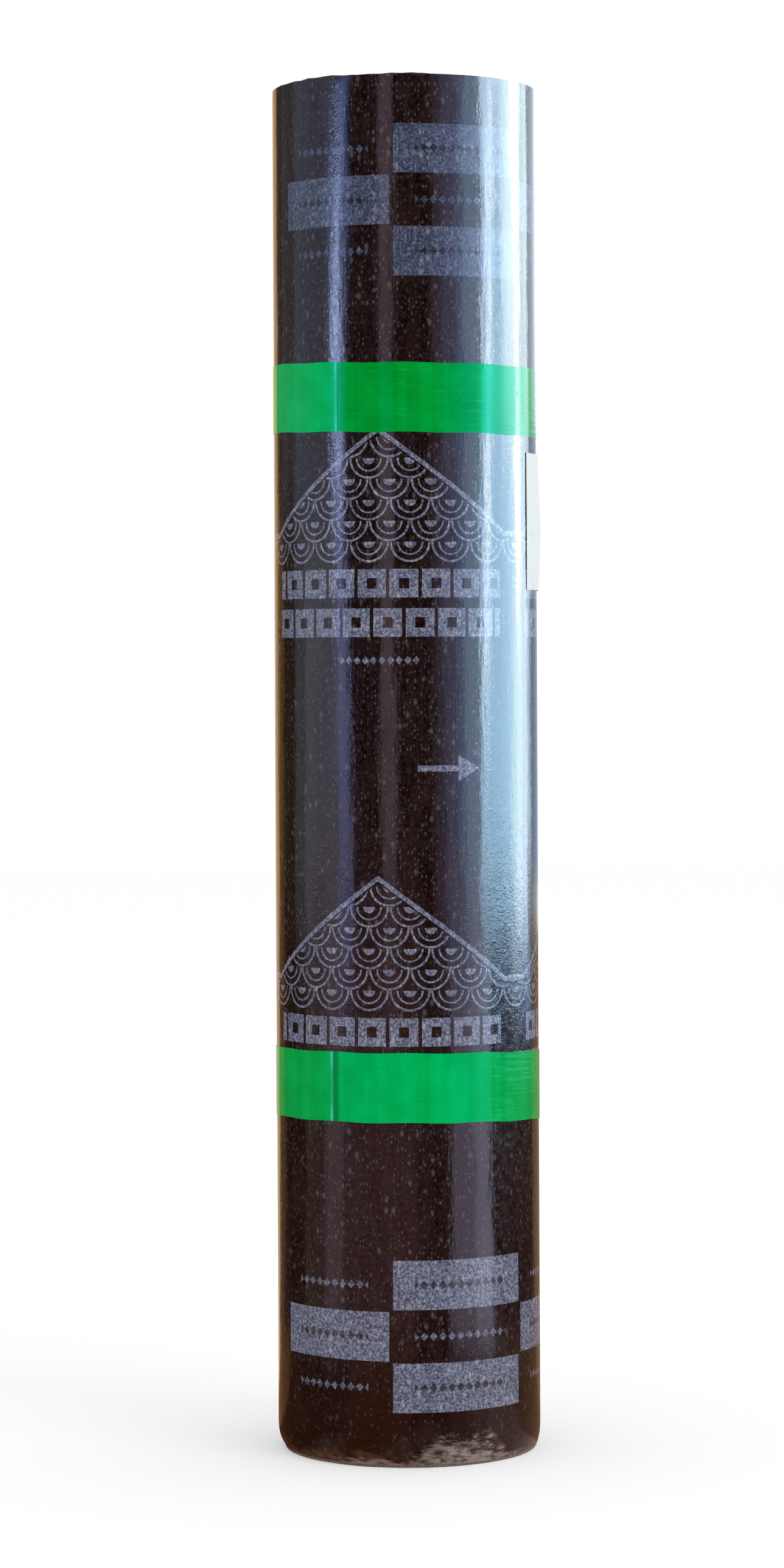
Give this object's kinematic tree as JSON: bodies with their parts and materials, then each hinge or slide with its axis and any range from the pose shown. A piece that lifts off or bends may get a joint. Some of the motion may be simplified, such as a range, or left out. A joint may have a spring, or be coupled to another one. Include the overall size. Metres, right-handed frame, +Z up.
{
  "type": "roll of roofing felt",
  "caption": "Roll of film-faced bitumen roofing felt standing on its end, with an open bore, held closed by bands of green tape and carrying a paper label.",
  "frame": {"origin": "on the bore's axis, in the plane of the end that the roll stands on", "axes": "+Z up along the bore; -Y towards the viewer of the picture; +X to the viewer's right, where the label is"},
  "size_m": [0.1938, 0.1914, 1],
  "materials": {
    "felt": "satin",
    "tape": "gloss",
    "label": "matte"
  },
  "bodies": {
    "root": {"felt_roll": "felt", "upper_tape": "tape", "lower_tape": "tape", "paper_label": "label"}
  },
  "joints": []
}
